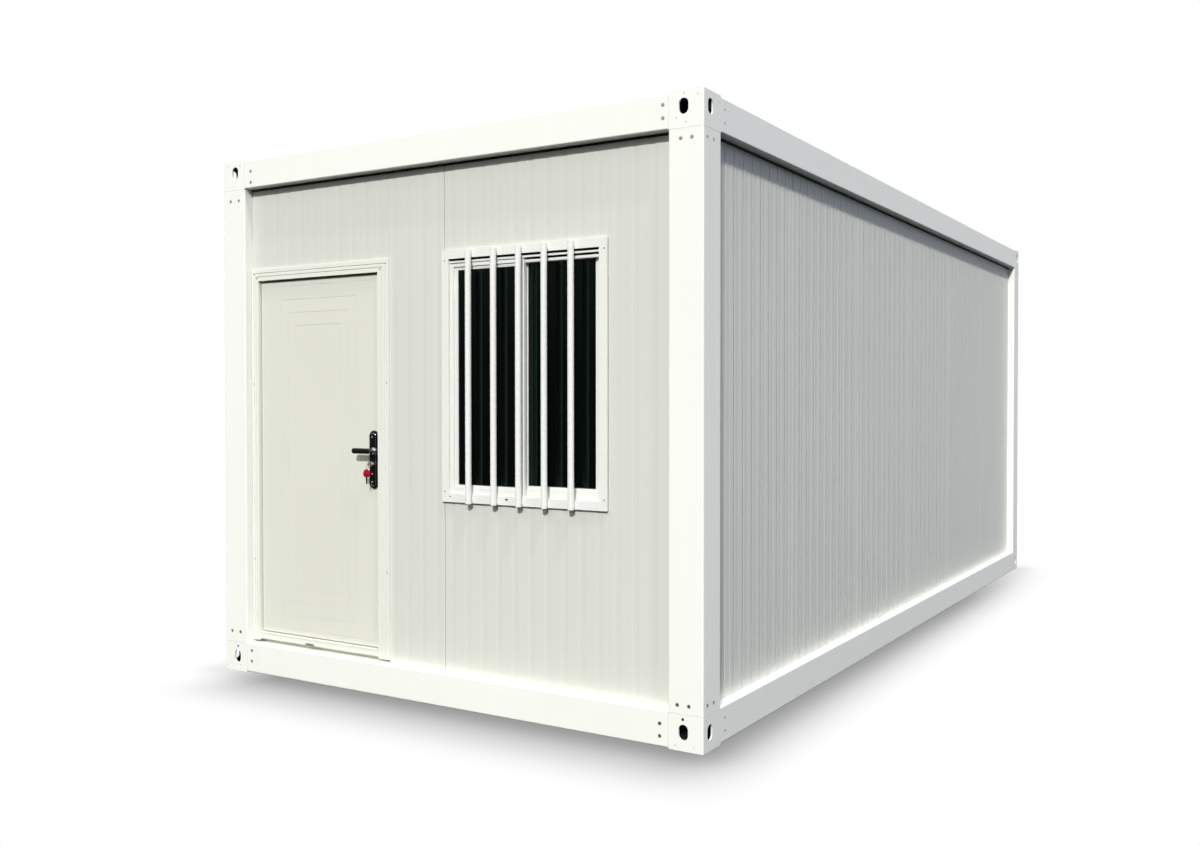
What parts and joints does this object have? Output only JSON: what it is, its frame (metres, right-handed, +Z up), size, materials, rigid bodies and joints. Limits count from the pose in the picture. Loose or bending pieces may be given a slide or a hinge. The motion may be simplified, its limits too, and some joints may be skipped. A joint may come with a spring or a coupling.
{
  "type": "flat-pack site cabin",
  "caption": "Steel-framed flat-pack site cabin with corner fittings, sandwich-panel walls, an inward-opening door with a lever handle, and a barred sliding window.",
  "frame": {"origin": "on the ground, at the middle of the footprint", "axes": "+Z up, the front wall with the door and window faces -Y, +X is to the right for a person facing that wall from outside"},
  "size_m": [3, 5.95, 2.8],
  "materials": {
    "frame_paint": "semi-gloss white paint",
    "wall_panel": "semi-gloss coil-coated grey-white steel, finely grooved",
    "galvanised_steel": "galvanised",
    "floor_covering": "matte sheet flooring",
    "ceiling_sheet": "matte white sheet",
    "roof_sheet": "satin coated sheet",
    "door_frame_paint": "semi-gloss off-white paint",
    "door_paint": "semi-gloss greenish white paint",
    "lock_black": "glossy black",
    "lock_chrome": "polished",
    "lever_metal": "glossy dark grey",
    "window_plastic": "smooth white plastic",
    "window_glass": "dark, clear",
    "zinc_bolts": "bright zinc",
    "key_red": "glossy red",
    "bar_paint": "gloss white paint",
    "rubber_seal": "matte black"
  },
  "bodies": {
    "root": {"casting_front_left_low": "frame_paint", "casting_front_right_low": "frame_paint", "casting_rear_left_low": "frame_paint", "casting_rear_right_low": "frame_paint", "casting_front_left_high": "frame_paint", "casting_front_right_high": "frame_paint", "casting_rear_left_high": "frame_paint", "casting_rear_right_high": "frame_paint", "post_front_left": "frame_paint", "post_front_right": "frame_paint", "post_rear_left": "frame_paint", "post_rear_right": "frame_paint", "floor_beam_front": "frame_paint", "floor_beam_rear": "frame_paint", "floor_beam_left": "frame_paint", "floor_beam_right": "frame_paint", "roof_beam_front": "frame_paint", "roof_beam_rear": "frame_paint", "roof_beam_left": "frame_paint", "roof_beam_right": "frame_paint", "floor_joists": "galvanised_steel", "floor_board": "floor_covering", "ceiling_board": "ceiling_sheet", "roof_sheet": "roof_sheet", "front_wall_over_door": "wall_panel", "front_wall_beside_door": "wall_panel", "front_wall_below_window": "wall_panel", "front_wall_above_window": "wall_panel", "front_wall_right": "wall_panel", "right_wall": "wall_panel", "left_wall": "wall_panel", "rear_wall": "wall_panel", "door_frame": "door_frame_paint", "door_sill": "door_frame_paint", "door_hinges_fixed": "galvanised_steel", "window_frame": "window_plastic", "window_sashes": "window_plastic", "window_glass": "window_glass"},
    "door": {"door_leaf": "door_paint", "door_hinges_moving": "galvanised_steel", "lock_plates": "lock_black", "lock_cylinder": "lock_chrome"},
    "lever": {"lever_handle": "lever_metal"}
  },
  "joints": [
    {"name": "door_swing", "type": "hinge", "parent": "root", "child": "door", "pos_m": [-1.279, -2.852, 1.18], "axis": [0, 0, 1], "range_deg": [0, 90]},
    {"name": "lever_turn", "type": "hinge", "parent": "door", "child": "lever", "pos_m": [-0.431, -2.892, 1.233], "axis": [0, -1, 0], "range_deg": [0, 40], "stiffness_Nm_per_rad": 1.2}
  ]
}
